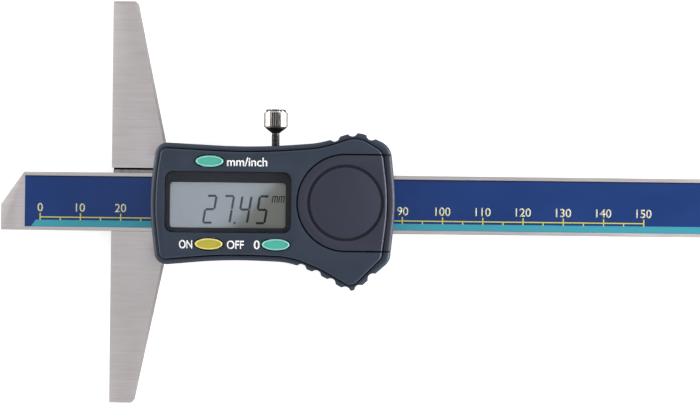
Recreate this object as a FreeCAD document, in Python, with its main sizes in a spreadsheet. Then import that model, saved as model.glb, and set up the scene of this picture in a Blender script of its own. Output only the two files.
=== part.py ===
import FreeCAD, Part
import math
import os
import re
from types import SimpleNamespace

import Sketcher
from FreeCAD import Placement, Rotation, Vector

# A digital depth caliper: a flat beam with a scale slides in a T-shaped bridge that carries
# the electronic housing. It lies on its back on z = 0 with its display facing +Z. The beam
# runs along X. The measuring face of the bridge is the plane x = 0, facing -X, and the beam's
# centre line is y = 0. All sizes are in millimetres.

SIZES = {
    # the beam, which the slider reads
    "measuring_range": 150.0,
    "reading": 27.45,  # how far the beam's tip stands out of the bridge as drawn
    "beam_width": 14.5,
    "beam_thickness": 3.5,
    "beam_spare": 16.0,  # beam left behind the slider at the deepest reading
    "tip_slant_length": 5.65,
    "tip_slant_height": 8.1,
    "label_setback": 5.95,  # from the tip to the near end of the scale
    "lip_width": 0.9,  # ground edge left on each side of the scale
    "lip_height": 0.05,  # the ground edges stand this far above the scale
    "label_thickness": 0.15,
    "grid_thickness": 0.6,
    # the stop under the far end of the beam
    "stop_length": 10.0,
    "stop_width": 9.0,
    "stop_thickness": 2.0,
    "stop_slack": 0.3,  # room left between stop and slider at the deepest reading
    "stop_screw_radius": 0.8,
    "stop_head_radius": 1.5,
    "stop_head_height": 0.8,
    "stop_screw_depth": 2.0,  # thread that goes into the beam
    # the bridge and the slider frame, one piece of steel
    "bridge_length": 99.8,
    "bridge_end_width": 5.5,
    "bridge_root_width": 13.3,
    "frame_inset": 1.7,  # the frame ends this far inside the housing's far end
    "web_thickness": 2.9,
    "wall_above": 3.8,
    "wall_below": 4.8,
    "sliding_gap": 0.05,
    "gib_thickness": 0.7,
    "gib_gap": 0.5,
    "gib_setback": 0.4,
    "gib_screw_radius": 0.8,
    "gib_screw_inset": 8.5,  # from each end of the frame's stem
    "gib_screw_sink": 0.6,  # how deep its outer end lies in the frame
    # the lock screw and its brass shoe
    "lock_along": 26.4,  # along the window from its near end
    "lock_radius": 1.0,
    "lock_play": 0.05,
    "lock_free_travel": 0.35,
    "shoe_length": 0.85,
    "lock_neck": 5.2,  # thread that shows between the frame and the head's cone
    "lock_cone_length": 1.35,
    "lock_head_radius": 2.95,
    "lock_head_length": 4.55,
    "lock_head_bevel": 0.5,
    "knurl_depth": 0.22,
    "knurl_count": 32,
    # the plastic housing
    "housing_start": 10.4,
    "housing_bottom": 1.5,
    "floor_thickness": 1.2,
    "floor_gap": 0.15,
    "rim_top": 13.2,
    "rim_width": 1.5,
    "rim_rounding": 1.1,
    "face_top": 15.0,
    "face_thickness": 1.9,
    "face_chamfer": 0.3,
    "skirt_thickness": 0.7,
    "parting_gap": 0.3,
    "notch_radius": 1.25,  # the rounded gaps between the finger ribs
    "notch_depth": 0.8,
    "rib_rounding": 0.35,
    # the four screws that clamp frame, board and housing together
    "screw_radius": 0.7,
    "screw_head_radius": 1.25,
    "screw_head_height": 1.0,
    "screw_short": 1.6,  # the tips end this far under the face
    "screw_edge": 1.55,  # screw axis to the frame's long edge
    "screw_near": 7.2,  # from the housing's near end
    "screw_far": 4.05,  # from the window's far end
    "boss_radius": 1.7,
    # board, display and window
    "board_thickness": 1.0,
    "board_inset": 0.7,
    "board_near": 5.3,  # from the housing's near end
    "board_far": 7.6,  # from the housing's far end
    "board_room": 0.15,
    "window_start": 14.15,
    "window_length": 30.8,
    "window_height": 14.9,
    "window_centre": 0.2,
    "window_corner": 2.0,
    "window_ledge": 0.6,
    "lens_thickness": 1.0,
    "lens_recess": 0.3,
    "lens_gap": 0.08,
    "mask_thickness": 0.15,
    "mask_left": 1.1,
    "mask_right": 1.35,
    "mask_bottom": 1.2,
    "mask_top": 2.65,
    "display_thickness": 1.85,
    "display_gap": 0.1,
    "zebra_width": 1.6,
    "holder_wall": 0.7,
    # buttons
    "button_half_length": 3.4,
    "button_half_width": 1.4,
    "button_gap": 0.25,
    "button_proud": 0.25,
    "button_travel": 0.5,
    "button_near": 10.85,  # along the window from its near end
    "button_far": 27.15,
    "button_above": 2.5,  # button centre to the window's edge
    "button_below": 2.75,
    "button_margin": 0.7,  # least face left outside a button
    "ear_length": 0.6,
    "ear_half_width": 0.9,
    "stem_radius": 1.1,
    "switch_height": 1.6,
    "plunger_height": 0.4,
    "plunger_radius": 0.9,
    # battery and its cover
    "battery_radius": 10.0,
    "battery_thickness": 3.2,
    "battery_lift": 1.2,  # above the board
    "battery_play": 0.2,
    "battery_start": 2.25,  # battery edge from the window's far end
    "battery_end": 2.5,  # battery edge from the housing's far end
    "contact_thickness": 0.3,
    "contact_half_width": 1.8,
    "cover_margin": 2.0,  # the cover's radius is this much more than the battery's
    "cover_shift": 1.0,  # the cover's centre lies this much nearer the far end
    "cover_centre": 0.35,
    "cover_gap": 0.4,
    "cover_end_wall": 2.1,
    "cover_end_depth": 3.6,
    "lip_reach": 0.5,  # the cover's lip goes this far under the face
    "lip_thickness": 0.35,
    "lip_gap": 0.08,
    "well_wall": 0.4,  # outside the groove that takes the lip
    "ring_inset": 1.4,  # the ring's radius is this much less than the battery's
    "ring_width": 0.75,
    "ring_depth": 0.8,
}

# Places that several pieces share, each worked out from the sizes and the places above it.
PLACES = {
    "window_end": "window_start + window_length",
    "window_low": "window_centre - window_height / 2",
    "window_high": "window_centre + window_height / 2",
    "battery_place": "window_end + battery_start + battery_radius",
    "housing_end": "battery_place + battery_radius + battery_end",
    "frame_end": "housing_end - frame_inset",
    "beam_end": "frame_end + measuring_range + beam_spare - reading",
    "beam_side": "beam_width / 2",
    "beam_low": "web_thickness + sliding_gap",
    "beam_high": "beam_low + beam_thickness",
    "beam_middle": "beam_low + beam_thickness / 2",
    "frame_high": "beam_high + sliding_gap",
    "label_start": "label_setback - reading",
    "label_side": "beam_side - lip_width",
    "label_high": "beam_high - lip_height",
    "label_low": "label_high - label_thickness",
    "grid_low": "label_low - grid_thickness",
    "channel_low": "-beam_side - sliding_gap",
    "gib_inner": "beam_side + sliding_gap",
    "gib_outer": "gib_inner + gib_thickness",
    "channel_high": "gib_outer + gib_gap",
    "frame_top": "channel_high + wall_above",
    "frame_bottom": "channel_low - wall_below",
    "stop_start": "frame_end + measuring_range - reading + stop_slack",
    "stop_low": "beam_low - stop_thickness",
    "lock_place": "window_start + lock_along",
    "shoe_start": "gib_outer + lock_free_travel",
    "screw_start": "shoe_start + shoe_length + lock_play / 2",
    "cone_start": "frame_top + lock_neck",
    "head_start": "cone_start + lock_cone_length",
    "head_end": "head_start + lock_head_length",
    "board_high": "frame_high + board_thickness",
    "face_under": "face_top - face_thickness",
    "screw_tip": "face_under - screw_short",
    "lens_high": "face_top - lens_recess",
    "lens_low": "lens_high - lens_thickness",
    "mask_low": "lens_low - mask_thickness",
    "display_high": "face_under - display_gap",
    "display_low": "display_high - display_thickness",
    "near_button": "window_start + button_near",
    "far_button": "window_start + button_far",
    "upper_button": "window_high + button_above",
    "lower_button": "window_low - button_below",
    "switch_top": "board_high + switch_height",
    "cell_low": "board_high + battery_lift",
    "cell_high": "cell_low + battery_thickness",
    "cover_place": "battery_place + cover_shift",
    "cover_radius": "battery_radius + cover_margin",
    "cover_end_start": "housing_end - cover_end_wall",
    "cover_end_low": "rim_top - cover_end_depth",
    "near_screw": "housing_start + screw_near",
    "far_screw": "window_end + screw_far",
    "upper_screw": "frame_top - screw_edge",
    "lower_screw": "frame_bottom + screw_edge",
}
SCREWS = [(x, y) for x in ("near_screw", "far_screw") for y in ("upper_screw", "lower_screw")]
BUTTONS = {
    "button_units": ("near_button", "upper_button"),
    "button_on_off": ("near_button", "lower_button"),
    "button_zero": ("far_button", "lower_button"),
}
PAST = 5.0  # how far a cutting tool runs past the face that it opens
WIDE = 60.0  # half the side of a cutting tool that is wider than the housing


def spelled(word):
    """One name of an expression: a place becomes its own expression, a size its cell."""
    name = word[0]
    return f"({linked(PLACES[name])})" if name in PLACES else f"Sizes.{name}"


def linked(text):
    """The expression with everything read from the sheet's cells."""
    return re.sub(r"[a-z_]+", spelled, text)


doc = FreeCAD.newDocument("depth_caliper")
sheet = doc.addObject("Spreadsheet::Sheet", "Sizes")
for row, (alias, value) in enumerate(SIZES.items(), start=1):
    sheet.set(f"A{row}", alias)
    sheet.set(f"B{row}", str(value))
    sheet.setAlias(f"B{row}", alias)
places = doc.addObject("App::VarSet", "Places")
for name, text in PLACES.items():
    places.addProperty("App::PropertyFloat", name)
    places.setExpression(name, linked(text))
doc.recompute()

# The same values as numbers, for shapes that are worked out here.
size = SimpleNamespace(**{alias: float(sheet.get(alias)) for alias in SIZES})
size.__dict__.update({name: getattr(places, name) for name in PLACES})
nodes = []


def at(spot):
    """The numbers of a spot that is given by the names of two places."""
    return tuple(getattr(size, name) for name in spot)


def bind(thing, **expressions):
    """Tie properties of an object to the sheet; a double underscore stands for a dot."""
    for path, text in expressions.items():
        thing.setExpression(path.replace("__", "."), linked(text))


def node(thing, label):
    """Mark a finished piece, which is written to its own file."""
    thing.Label = label
    nodes.append(thing)


def block(name, x, y, z):
    """A box between two expressions on each axis."""
    box = doc.addObject("Part::Box", name)
    bind(box, Length=f"({x[1]}) - ({x[0]})", Width=f"({y[1]}) - ({y[0]})", Height=f"({z[1]}) - ({z[0]})")
    bind(box, Placement__Base__x=x[0], Placement__Base__y=y[0], Placement__Base__z=z[0])
    return box


def rod(name, radius, start, length, along="Z"):
    """A cylinder from a start point, along Z or along Y."""
    cylinder = doc.addObject("Part::Cylinder", name)
    if along == "Y":
        cylinder.Placement = Placement(Vector(), Rotation(Vector(1, 0, 0), -90))
    bind(cylinder, Radius=radius, Height=length)
    bind(cylinder, Placement__Base__x=start[0], Placement__Base__y=start[1], Placement__Base__z=start[2])
    return cylinder


def rods(name, radius, spots, low, length):
    """Upright cylinders of one size at several spots."""
    starts = [(x, y, low) for x, y in spots]
    return [rod(f"{name}_{index}", radius, start, length) for index, start in enumerate(starts, start=1)]


def fused(name, pieces):
    """One solid from several that meet."""
    union = doc.addObject("Part::MultiFuse", name)
    union.Shapes = pieces
    return union


def grouped(name, pieces):
    """Separate solids kept in one node."""
    group = doc.addObject("Part::Compound", name)
    group.Links = pieces
    return group


def paired(name, shanks, heads):
    """Screws, each a shank and a head made one."""
    pairs = enumerate(zip(shanks, heads), start=1)
    return grouped(name, [fused(f"{name}_{index}", pair) for index, pair in pairs])


def without(name, base, tools):
    """The base with every tool cut away."""
    cut = doc.addObject("Part::Cut", name)
    cut.Base = base
    cut.Tool = tools[0] if len(tools) == 1 else fused(name + "_tools", tools)
    return cut


def shaped(label, shape, place=(0, 0, 0)):
    """A finished piece whose shape is worked out here from the sheet's values."""
    thing = doc.addObject("Part::Feature", label)
    thing.Shape = shape
    thing.Placement = Placement(Vector(*place), Rotation())
    node(thing, label)


def sketch_on(body, name, corners, height="0"):
    """A closed sketch of straight lines on the XY plane; every corner is held by two expressions."""
    sketch = body.newObject("Sketcher::SketchObject", name)
    plane = next(item for item in body.Origin.OriginFeatures if item.Role == "XY_Plane")
    sketch.AttachmentSupport = [(plane, "")]
    sketch.MapMode = "FlatFace"
    bind(sketch, AttachmentOffset__Base__z=height)
    count = len(corners)
    turns = [2 * math.pi * step / count for step in range(count + 1)]
    ring = [Vector(math.cos(turn), math.sin(turn), 0) for turn in turns]
    for step in range(count):
        sketch.addGeometry(Part.LineSegment(ring[step], ring[step + 1]))
    for step in range(count):
        sketch.addConstraint(Sketcher.Constraint("Coincident", step, 2, (step + 1) % count, 1))
    for step, corner in enumerate(corners):
        for kind, text in zip(("DistanceX", "DistanceY"), corner):
            held = sketch.addConstraint(Sketcher.Constraint(kind, -1, 1, step, 1, 1.0))
            sketch.setExpression(f"Constraints[{held}]", linked(text))
    return sketch


def padded(name, corners, thickness):
    """A body whose first feature is a pad of the outline, upward from z = 0."""
    body = doc.addObject("PartDesign::Body", name)
    pad = body.newObject("PartDesign::Pad", name + "_pad")
    pad.Profile = sketch_on(body, name + "_outline", corners)
    bind(pad, Length=thickness)
    body.Tip = pad
    return body


def pocketed(body, name, corners, top, depth):
    """Cut the outline into the body, downward from the height top."""
    pocket = body.newObject("PartDesign::Pocket", name)
    pocket.Profile = sketch_on(body, name + "_outline", corners, top)
    bind(pocket, Length=depth)
    body.Tip = pocket


def oblong(low_x, high_x, low_y, high_y):
    """The corners of a rectangle, anticlockwise."""
    return [(low_x, low_y), (high_x, low_y), (high_x, high_y), (low_x, high_y)]


def rounded(low_x, high_x, low_y, high_y, radius):
    """The corners of a rounded rectangle, for loop and prism."""
    return [(x, y, radius) for x, y in oblong(low_x, high_x, low_y, high_y)]


def loop(corners, grow, height):
    """A closed wire round the corners (x, y, radius), given anticlockwise, each one rounded
    by a tangent arc, with the whole outline moved outward by grow."""
    arcs = []
    for index, (x, y, radius) in enumerate(corners):
        here = Vector(x, y, height)
        back = Vector(*corners[index - 1][:2], height)
        ahead = Vector(*corners[(index + 1) % len(corners)][:2], height)
        arriving = (here - back).normalize()
        leaving = (ahead - here).normalize()
        out_arriving = Vector(arriving.y, -arriving.x, 0)
        out_leaving = Vector(leaving.y, -leaving.x, 0)
        here = here + (out_arriving + out_leaving) * (grow / (1 + out_arriving * out_leaving))
        bulges = arriving.cross(leaving).z > 0
        radius = radius + grow if bulges else radius - grow
        half_turn = arriving.getAngle(leaving) / 2
        tangent = radius * math.tan(half_turn)
        inward = (leaving - arriving).normalize()
        middle = here + inward * (radius / math.cos(half_turn) - radius)
        arcs.append(Part.Arc(here - arriving * tangent, middle, here + leaving * tangent))
    edges = []
    for index, arc in enumerate(arcs):
        start = arc.EndPoint
        end = arcs[(index + 1) % len(arcs)].StartPoint
        edges += [arc.toShape(), Part.LineSegment(start, end).toShape()]
    return Part.Wire(edges)


def prism(corners, grow, low, high):
    """A solid with the grown outline, between two heights."""
    return Part.Face(loop(corners, grow, low)).extrude(Vector(0, 0, high - low))


def edges_at(solid, height):
    """The edges that lie in the plane at this height."""
    return [edge for edge in solid.Edges if edge.BoundBox.ZMin > height - 1e-4]


def box_between(low, high):
    """A box between two opposite corners."""
    sides = Vector(*high) - Vector(*low)
    return Part.makeBox(sides.x, sides.y, sides.z, Vector(*low))


def upright(radius, x, y, low, high):
    """An upright cylinder between two heights."""
    return Part.makeCylinder(radius, high - low, Vector(x, y, low))


# ---- the beam ---------------------------------------------------------------------------


def stop_rods(name, radius, low, length):
    """Two upright cylinders on the end stop's screw axes."""
    spots = [(f"stop_start + stop_length * {share}", "0") for share in (0.27, 0.73)]
    return rods(name, radius, spots, low, length)


def beam():
    """A flat steel bar with a slanted measuring tip and a shallow bed for the scale."""
    outline = [
        ("-reading", "-beam_side"),
        ("beam_end", "-beam_side"),
        ("beam_end", "beam_side"),
        ("tip_slant_length - reading", "beam_side"),
        ("-reading", "beam_side - tip_slant_height"),
    ]
    bar = padded("beam_bar", outline, "beam_thickness")
    bed = oblong("label_start", "beam_end + 1", "-label_side", "label_side")
    pocketed(bar, "beam_bed", bed, "beam_thickness", "beam_high - grid_low")
    bind(bar, Placement__Base__z="beam_low")
    holes = stop_rods("beam_hole", "stop_screw_radius", "stop_low", "stop_thickness + stop_screw_depth")
    node(without("beam_drilled", bar, holes), "beam")


def scale():
    """The glass-fibre strip that the electronics read, and the printed label over it."""
    along, across = ("label_start", "beam_end"), ("-label_side", "label_side")
    node(block("scale_grid_strip", along, across, ("grid_low", "label_low")), "scale_grid")
    node(block("scale_label_film", along, across, ("label_low", "label_high")), "scale_label")


def end_stop():
    """A small plate under the beam's far end and the two screws that hold it."""
    plate = block(
        "stop_plate",
        ("stop_start", "stop_start + stop_length"),
        ("-stop_width / 2", "stop_width / 2"),
        ("stop_low", "beam_low"),
    )
    holes = stop_rods("stop_hole", "stop_screw_radius", "stop_low", "stop_thickness")
    seats = stop_rods("stop_seat", "stop_head_radius", "stop_low", "stop_head_height")
    node(without("stop_drilled", plate, holes + seats), "end_stop")
    shanks = stop_rods("stop_shank", "stop_screw_radius", "stop_low", "stop_thickness + stop_screw_depth")
    heads = stop_rods("stop_head", "stop_head_radius", "stop_low", "stop_head_height")
    node(paired("stop_screw", shanks, heads), "end_stop_screws")


# ---- the steel bridge and slider frame --------------------------------------------------


def gib_rods(name, radius, start, length):
    """Two cylinders along Y on the axes of the gib's adjusting screws."""
    ends = ("bridge_root_width + gib_screw_inset", "frame_end - gib_screw_inset")
    places = enumerate(((x, start, "beam_middle") for x in ends), start=1)
    return [rod(f"{name}_{index}", radius, place, length, "Y") for index, place in places]


def bridge():
    """The T-shaped frame: two tapered wings and a stem with a channel for the beam."""
    outline = [
        ("0", "-bridge_length / 2"),
        ("bridge_end_width", "-bridge_length / 2"),
        ("bridge_root_width", "frame_bottom"),
        ("frame_end", "frame_bottom"),
        ("frame_end", "frame_top"),
        ("bridge_root_width", "frame_top"),
        ("bridge_end_width", "bridge_length / 2"),
        ("0", "bridge_length / 2"),
    ]
    frame = padded("bridge_blank", outline, "frame_high")
    channel = oblong("-1", "frame_end + 1", "channel_low", "channel_high")
    pocketed(frame, "bridge_channel", channel, "frame_high", "frame_high - web_thickness")
    lock_start = ("lock_place", "channel_high", "beam_middle")
    holes = [rod("lock_hole", "lock_radius + lock_play", lock_start, "wall_above", "Y")]
    holes += gib_rods("gib_screw_hole", "gib_screw_radius", "channel_high", "wall_above")
    holes += rods("clamp_hole", "screw_radius", SCREWS, "0", "frame_high")
    holes += rods("clamp_seat", "screw_head_radius", SCREWS, "0", "screw_head_height")
    node(without("bridge_drilled", frame, holes), "bridge_slider")


def gib():
    """The strip that takes up the beam's side play, and the two screws that set it."""
    along = ("gib_setback", "frame_end - gib_setback")
    node(block("gib_strip", along, ("gib_inner", "gib_outer"), ("beam_low", "beam_high")), "gib")
    screws = gib_rods("gib_screw", "gib_screw_radius", "gib_outer", "gib_gap + wall_above - gib_screw_sink")
    node(grouped("gib_screw_pair", screws), "gib_set_screws")


def lock():
    """The knurled lock screw and the brass shoe that it presses on the gib."""
    place = ("lock_place", "shoe_start", "beam_middle")
    node(rod("shoe_pin", "lock_radius - lock_play", place, "shoe_length", "Y"), "lock_shoe")
    outer, bevel = size.lock_head_radius, size.lock_head_bevel
    core = outer - size.knurl_depth
    neck = core - bevel / 5
    teeth = []
    for step in range(2 * int(size.knurl_count)):
        radius = core if step % 2 else outer
        turn = math.pi * step / size.knurl_count
        teeth.append(Vector(radius * math.cos(turn), size.head_start, radius * math.sin(turn)))
    knurl = Part.Face(Part.makePolygon(teeth + teeth[:1])).extrude(Vector(0, size.lock_head_length, 0))
    profile = [
        (0, size.screw_start),
        (size.lock_radius, size.screw_start),
        (size.lock_radius, size.cone_start),
        (neck, size.head_start),
        (outer, size.head_start + bevel / 2),
        (outer, size.head_end - bevel),
        (outer - bevel, size.head_end),
        (0, size.head_end),
    ]
    corners = [Vector(radius, y, 0) for radius, y in profile]
    turned = Part.Face(Part.makePolygon(corners + corners[:1])).revolve(Vector(), Vector(0, 1, 0), 360)
    below_head = size.head_start - size.screw_start
    shank = Part.makeCylinder(neck, below_head, Vector(0, size.screw_start, 0), Vector(0, 1, 0))
    screw = turned.common(knurl.fuse(shank)).removeSplitter()
    shaped("lock_screw", screw, (size.lock_place, 0, size.beam_middle))


# ---- the plastic housing ----------------------------------------------------------------


def face_corners():
    """The raised face seen from the front, anticlockwise: waisted along its middle, with a
    crest for the forefinger above and a point for the thumb below."""
    start, end = size.housing_start, size.housing_end
    clear = size.button_half_width + size.button_margin
    top = max(size.frame_top, size.upper_button + clear)
    bottom = min(size.frame_bottom, size.lower_button - clear)
    return [
        (start + 1.0, 0.3, 60.0),
        (start + 2.8, bottom - 1.7, 1.5),
        (start + 18.6, bottom - 0.2, 120.0),
        (end - 24.8, bottom - 0.75, 20.0),
        (end - 17.2, bottom - 3.75, 30.0),
        (end - 9.8, bottom - 8.05, 2.2),
        (end - 2.7, bottom - 0.9, 2.0),
        (end - 1.05, 0.4, 50.0),
        (end - 2.7, top + 0.65, 3.0),
        (end - 8.8, top + 4.15, 6.0),
        (end - 17.4, top + 1.2, 25.0),
        (start + 25.1, top - 0.15, 150.0),
        (start + 2.75, top + 0.95, 1.5),
    ]


def rim_corners():
    """The outline that the outer wall follows: the face's, but fuller at the far end."""
    fuller = {6: (0.75, -0.1), 7: (0.4, 0), 8: (0.75, 0.4)}
    corners = []
    for index, (x, y, radius) in enumerate(face_corners()):
        right, up = fuller.get(index, (0, 0))
        corners.append((x + right, y + up, radius))
    return corners


def outer_solid():
    """The housing's outside below the face, its top edge rounded."""
    blank = prism(rim_corners(), size.rim_width, size.housing_bottom, size.rim_top)
    return blank.makeFillet(size.rim_rounding, edges_at(blank, size.rim_top))


def face_solid(low):
    """The raised face from a given height up, its top edge bevelled."""
    blank = prism(face_corners(), 0, low, size.face_top)
    return blank.makeChamfer(size.face_chamfer, edges_at(blank, size.face_top))


def rib_notches():
    """The gaps between the finger ribs, as upright cylinders that reach into the outer wall."""
    crest, point = size.housing_end - 8.8, size.housing_end - 9.8
    above = [crest + 3.5, crest - 1.2, crest - 5.6]
    below = [point + 5.2, point + 2.0] + [point - 1.6 - 3.6 * step for step in range(4)]
    wall = loop(rim_corners(), size.rim_width + size.notch_radius - size.notch_depth, 0)
    notches = []
    for spots, reach in ((above, WIDE), (below, -WIDE)):
        for x in spots:
            line = Part.LineSegment(Vector(x, 0, 0), Vector(x, reach, 0)).toShape()
            centre = wall.distToShape(line)[1][0][0]
            notches.append(upright(size.notch_radius, centre.x, centre.y, 0, size.rim_top + PAST))
    return notches


def rib_edges(shell):
    """The upright edges where a notch meets the outer wall."""
    tall = size.rim_top - size.rim_rounding - size.housing_bottom
    centres = [notch.CenterOfMass for notch in rib_notches()]
    found = []
    for edge in shell.Edges:
        box, middle = edge.BoundBox, edge.CenterOfMass
        reaches = [math.hypot(middle.x - centre.x, middle.y - centre.y) for centre in centres]
        on_notch = min(abs(reach - size.notch_radius) for reach in reaches) < 0.01
        if on_notch and box.ZLength > 0.9 * tall and box.DiagonalLength < 1.01 * tall:
            found.append(edge)
    return found


def cover_room(gap, low, high):
    """The D-shaped space of the battery cover, open to the far end, shrunk by gap."""
    radius, x, y = size.cover_radius - gap, size.cover_place, size.cover_centre
    run = box_between((x, y - radius, low), (size.housing_end + PAST, y + radius, high))
    return upright(radius, x, y, low, high).fuse(run).removeSplitter()


def end_room(gap):
    """The space of the cover's share of the end wall, widened by gap."""
    low = (size.cover_end_start - gap, -WIDE, size.cover_end_low - gap)
    wall = box_between(low, (size.housing_end + PAST, WIDE, size.face_top))
    return cover_room(0, size.cover_end_low - gap, size.face_top).common(wall)


def lower_housing():
    """The rim shell round the frame: a floor flush round the steel, and a ledge that seats
    on the steel beside the board."""
    corners = face_corners()
    shell = outer_solid().cut(prism(corners, size.parting_gap, 0, size.face_top))
    ledge = prism(corners, size.rim_width / 2, size.frame_high, size.board_high)
    inset = size.board_inset - size.board_room
    board_room = box_between(
        (size.housing_start + size.board_near - size.board_room, size.frame_bottom + inset, 0),
        (size.housing_end - size.board_far + size.board_room, size.frame_top - inset, size.face_top),
    )
    floor_high = size.housing_bottom + size.floor_thickness
    floor = prism(corners, size.rim_width / 2, size.housing_bottom, floor_high)
    shell = shell.fuse([ledge.cut(board_room), floor])
    gap = size.floor_gap
    frame_room = box_between(
        (0, size.frame_bottom - gap, 0), (size.frame_end + gap, size.frame_top + gap, size.frame_high)
    )
    bridge_room = box_between((0, -WIDE, 0), (size.bridge_root_width + 2 * gap, WIDE, size.frame_high))
    beam_room = box_between(
        (size.frame_end - 1.0, size.channel_low - 0.3, 0),
        (size.housing_end + PAST, size.channel_high + 0.3, size.frame_high),
    )
    lock_start = Vector(size.lock_place, size.frame_top - 1.0, size.beam_middle)
    lock_room = Part.makeCylinder(size.lock_radius + 0.35, 3 * PAST, lock_start, Vector(0, 1, 0))
    tools = [frame_room, bridge_room, beam_room, lock_room, end_room(size.cover_gap)]
    shell = shell.cut(rib_notches()).removeSplitter()
    shell = shell.makeFillet(size.rib_rounding, rib_edges(shell))
    shaped("lower_housing", shell.cut(tools).removeSplitter())


def window_corners(margin):
    """The window's opening, drawn in by a margin on every side."""
    return rounded(
        size.window_start + margin,
        size.window_end - margin,
        size.window_low + margin,
        size.window_high - margin,
        size.window_corner - margin,
    )


def oval(x, y, half_length, half_width, low, high):
    """An upright elliptical plug."""
    curve = Part.Ellipse(Vector(x, y, low), half_length, half_width).toShape()
    return Part.Face(Part.Wire(curve)).extrude(Vector(0, 0, high - low))


def front_cover():
    """The face shell: window, button holes, battery well and four screw bosses."""
    corners = face_corners()
    bottom, under, top = size.board_high + 0.05, size.face_under, size.face_top + PAST
    x, y = size.cover_place, size.cover_centre
    shell = face_solid(bottom).cut(prism(corners, -size.skirt_thickness, 0, under))
    lip_radius = size.cover_radius + size.lip_reach + size.lip_gap
    well = upright(lip_radius + size.well_wall, x, y, bottom, under)
    well = well.common(prism(corners, -size.skirt_thickness / 2, bottom, under))
    well = well.common(box_between((0, -WIDE, 0), (x + PAST, WIDE, size.face_top)))
    bosses = [upright(size.boss_radius, *at(spot), size.board_high, under) for spot in SCREWS]
    shell = shell.fuse([well] + bosses)
    contact_side = size.contact_half_width + 0.4
    tools = [
        upright(size.battery_radius + size.battery_play, size.battery_place, y, 0, size.face_top),
        box_between((size.window_end, y - contact_side, 0), (x, y + contact_side, size.cell_high + 0.7)),
        prism(window_corners(0), 0, size.mask_low, top),
        prism(window_corners(size.window_ledge), 0, 0, top),
        cover_room(0, under - size.lip_thickness - 2 * size.lip_gap, top),
        upright(lip_radius, x, y, under - size.lip_thickness - 2 * size.lip_gap, under),
        end_room(size.cover_gap),
    ]
    tools += [upright(size.screw_radius, *at(spot), 0, size.screw_tip + 0.5) for spot in SCREWS]
    half_length = size.button_half_length + size.button_gap
    half_width = size.button_half_width + size.button_gap
    tools += [oval(*at(spot), half_length, half_width, under - 1, top) for spot in BUTTONS.values()]
    shaped("front_cover", shell.cut(tools).removeSplitter())


def housing_screws():
    """Four screws from the back, through frame and board, into the front cover's bosses."""
    shanks = rods("clamp_shank", "screw_radius", SCREWS, "0.1", "screw_tip - 0.1")
    heads = rods("clamp_head", "screw_head_radius", SCREWS, "0.1", "screw_head_height - 0.1")
    node(paired("clamp_screw", shanks, heads), "housing_screws")


def battery_cover():
    """The sliding cover with its share of the end wall and a lip under the front face."""
    gap, top, under = size.cover_gap, size.face_top, size.face_under
    x, y, radius = size.cover_place, size.cover_centre, size.cover_radius
    corners = face_corners()
    face = face_solid(under).common(cover_room(gap, under, top))
    reach = box_between((size.cover_end_start, -WIDE, 0), (size.housing_end + PAST, WIDE, size.rim_top))
    end = outer_solid().common(cover_room(gap, size.cover_end_low, size.rim_top)).common(reach)
    groove = prism(corners, size.parting_gap, size.rim_top - 0.6, top).cut(prism(corners, 0, 0, top))
    lip_high = under - size.lip_gap
    lip_low = lip_high - size.lip_thickness
    lip = upright(radius + size.lip_reach, x, y, lip_low, lip_high)
    neck = upright(radius - 2 * gap, x, y, lip_low, under + 0.1)
    lip_side = 0.6 * radius
    lip = lip.fuse(neck).common(box_between((x - 2 * radius, y - lip_side, 0), (x, y + lip_side, top)))
    ring = size.battery_radius - size.ring_inset
    ring_floor = top - size.ring_depth
    outer_disc = upright(ring + size.ring_width, x, y, ring_floor, top + PAST)
    cover = face.fuse([end.cut(groove), lip])
    cover = cover.cut(outer_disc.cut(upright(ring, x, y, ring_floor, top + PAST)))
    shaped("battery_cover", cover.removeSplitter())


# ---- inside the housing -----------------------------------------------------------------


def buttons():
    """Three oval caps, each with two retaining ears and a stem over its switch."""
    ear_high = size.face_under - 0.05
    ear_low = ear_high - 0.6
    stem_low = size.switch_top + size.plunger_height + size.button_travel + 0.05
    cap_high = size.face_top + size.button_proud
    side = size.button_half_length + size.ear_length
    for label, spot in BUTTONS.items():
        x, y = at(spot)
        cap = oval(x, y, size.button_half_length, size.button_half_width, ear_low, cap_high)
        cap = cap.makeFillet(0.35, edges_at(cap, cap_high))
        low = (x - side, y - size.ear_half_width, ear_low)
        ears = box_between(low, (x + side, y + size.ear_half_width, ear_high))
        stem = upright(size.stem_radius, x, y, stem_low, ear_low)
        shaped(label, cap.fuse([ears, stem]).removeSplitter())


def switches():
    """A small push switch under each button."""
    parts = []
    for index, (x, y) in enumerate(BUTTONS.values(), start=1):
        along = (f"{x} - 2.2", f"{x} + 2.2")
        across = (f"{y} - button_half_width", f"{y} + button_half_width")
        case = block(f"switch_case_{index}", along, across, ("board_high", "switch_top"))
        plunger = rod(f"switch_plunger_{index}", "plunger_radius", (x, y, "switch_top"), "plunger_height")
        parts.append(fused(f"switch_{index}", [case, plunger]))
    node(grouped("switch_set", parts), "push_switches")


def board():
    """The circuit board on the frame, its chip and its small parts."""
    along = ("housing_start + board_near", "housing_end - board_far")
    across = ("frame_bottom + board_inset", "frame_top - board_inset")
    blank = block("board_blank", along, across, ("frame_high", "board_high"))
    holes = rods("board_hole", "screw_radius + 0.1", SCREWS, "frame_high", "board_thickness")
    node(without("board_drilled", blank, holes), "main_board")
    along = ("window_start + 9.5", "window_start + 17.5")
    node(block("chip_body", along, ("-4", "4"), ("board_high", "board_high + 0.8")), "controller_chip")
    small = [
        block(
            f"capacitor_{index}",
            (f"window_start + {start}", f"window_start + {start + 1.6}"),
            ("2.2", "3.1"),
            ("board_high", "board_high + 0.7"),
        )
        for index, start in enumerate((2.4, 5.4, 19.4, 22.4), start=1)
    ]
    along = ("window_start + 20", "window_start + 26")
    small.append(block("crystal_can", along, ("-3.2", "-1.2"), ("board_high", "board_high + 1.8")))
    node(grouped("small_parts", small), "board_components")


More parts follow.
